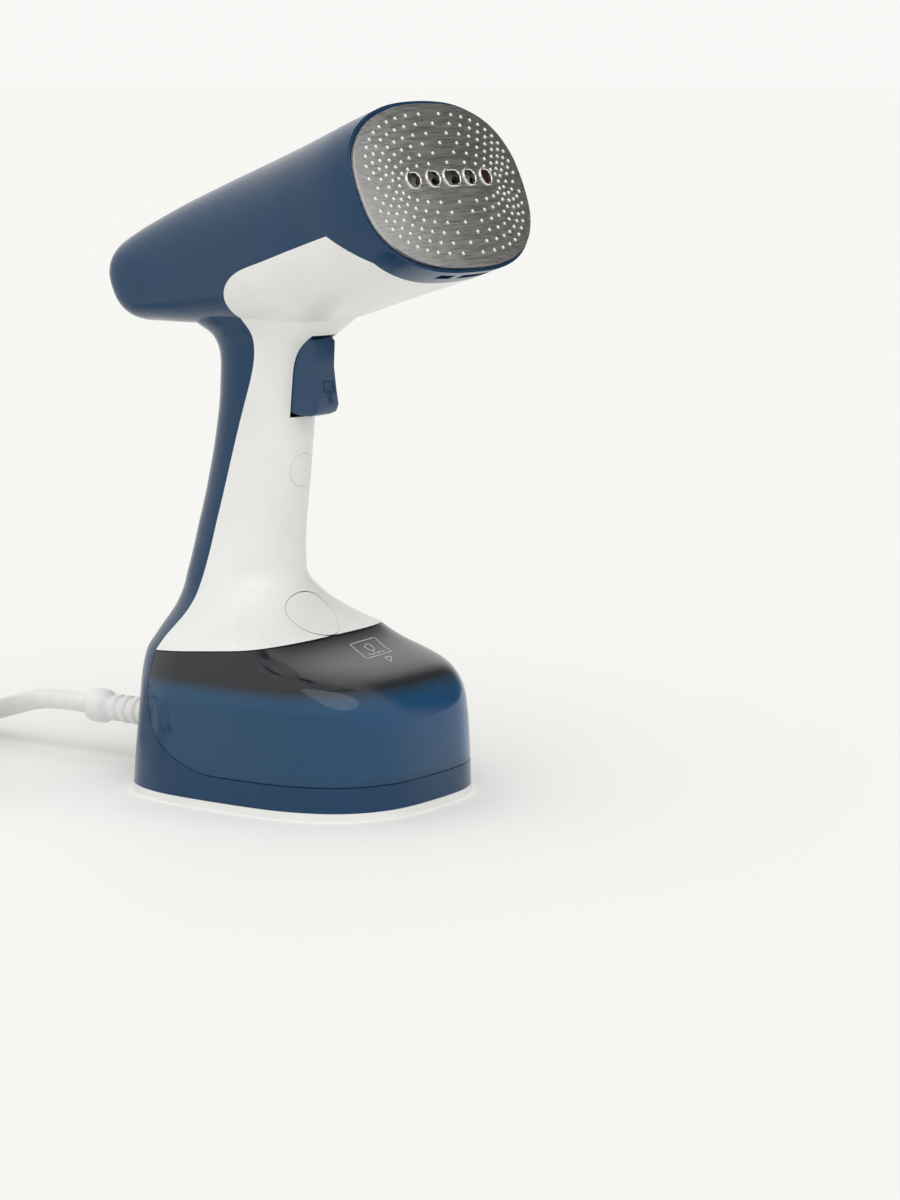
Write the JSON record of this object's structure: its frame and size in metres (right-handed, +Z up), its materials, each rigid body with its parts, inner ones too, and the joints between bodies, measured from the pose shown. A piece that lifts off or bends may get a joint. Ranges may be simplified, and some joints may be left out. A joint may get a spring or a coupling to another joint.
{
  "type": "handheld garment steamer",
  "caption": "Upright handheld garment steamer: tilted steel steam plate on a cone-shaped barrel, trigger grip, lift-off water tank as its foot, and a mains lead with a moulded plug.",
  "frame": {"origin": "on the flat underside of the base plate, on the symmetry plane, below the axis of the grip's upper part", "axes": "+X to the side, +Y to the rear, where the mains lead leaves, -Y to the front, where the steam plate and the trigger are, +Z up"},
  "size_m": [0.1853, 0.3829, 0.2936],
  "materials": {
    "shell_blue": "polished injection-moulded plastic, navy blue",
    "shell_white": "polished injection-moulded plastic, white",
    "collar_dark": "polished heat-resistant plastic, dark navy",
    "plate_steel": "satin brushed stainless steel with rows of small dimples",
    "tank_clear": "clear moulding tinted dark blue",
    "stopper_rubber": "soft silicone rubber",
    "foot_rubber": "matt rubber",
    "gasket_silicone": "silicone sheet",
    "tube_silicone": "translucent silicone tube",
    "spring_steel": "drawn spring wire and strip",
    "screw_steel": "zinc-plated steel",
    "filter_mesh": "fine woven wire in a ring",
    "switch_black": "moulded thermoset",
    "pump_black": "moulded plastic",
    "fuse_white": "moulded heat-proof plastic",
    "loom_sleeve": "woven glass-fibre sleeve",
    "cast_aluminium": "die casting",
    "element_steel": "heat-stained steel sheath",
    "shield_steel": "plain sheet",
    "cord_white": "flexible sheath, white",
    "tie_black": "flat strap",
    "plug_white": "moulded-on plug, white",
    "pin_nickel": "nickel-plated"
  },
  "bodies": {
    "housing": {"grip_shell": "shell_white", "base_plate": "shell_white", "rear_housing": "shell_blue", "grip_cap": "shell_white", "base_tray": "shell_blue", "hub": "shell_blue", "collar_ring": "collar_dark", "steam_plate": "plate_steel", "foot_pads": "foot_rubber", "base_screws": "screw_steel", "grip_screw": "screw_steel", "chamber_screws": "screw_steel", "trigger_pin": "screw_steel", "trigger_spring": "spring_steel", "micro_switch": "switch_black", "steam_chamber": "cast_aluminium", "chamber_lid": "cast_aluminium", "plate_gasket": "gasket_silicone", "heating_element": "element_steel", "thermostat": "element_steel", "thermal_fuse": "fuse_white", "heat_shield": "shield_steel", "pump": "pump_black", "water_tube": "tube_silicone", "wiring_loom": "loom_sleeve", "terminal_block": "fuse_white", "strain_relief": "cord_white", "cord_clamp": "switch_black", "power_cord": "cord_white", "cord_tail": "cord_white", "cord_coil": "cord_white", "cord_tie": "tie_black", "plug_body": "plug_white", "plug_pins": "pin_nickel"},
    "trigger": {"trigger": "shell_blue"},
    "switch_lever": {"switch_lever": "spring_steel"},
    "release_button": {"release_button": "shell_white"},
    "tank": {"tank_shell": "tank_clear", "suction_filter": "filter_mesh", "valve_spring": "stopper_rubber"},
    "filler_stopper": {"filler_stopper": "stopper_rubber"},
    "outlet_valve": {"outlet_valve": "stopper_rubber"}
  },
  "joints": [
    {"name": "trigger_press", "type": "hinge", "parent": "housing", "child": "trigger", "pos_m": [0, 0.004, 0.19], "axis": [1, 0, 0], "range_deg": [0, 8], "stiffness_Nm_per_rad": 1.2, "springref_deg": -3.44},
    {"name": "switch_press", "type": "hinge", "parent": "housing", "child": "switch_lever", "pos_m": [0, 0.0146, 0.1874], "axis": [1, 0, 0], "range_deg": [0, 9]},
    {"name": "release_press", "type": "slide", "parent": "housing", "child": "release_button", "axis": [0, 0.9955, -0.0952], "range_m": [0, 0.002], "stiffness_N_per_m": 1200, "springref_m": -0.001},
    {"name": "tank_slide", "type": "slide", "parent": "housing", "child": "tank", "axis": [0, -1, 0], "range_m": [0, 0.07]},
    {"name": "stopper_pull", "type": "slide", "parent": "tank", "child": "filler_stopper", "axis": [0, 0, 1], "range_m": [0, 0.006]},
    {"name": "valve_close", "type": "slide", "parent": "tank", "child": "outlet_valve", "axis": [0, 1, 0], "range_m": [0, 0.002]}
  ],
  "couplings": [
    {"joint": "switch_press", "follows": "trigger_press", "ratio": 1.1},
    {"joint": "valve_close", "follows": "tank_slide", "ratio": 0.028}
  ]
}
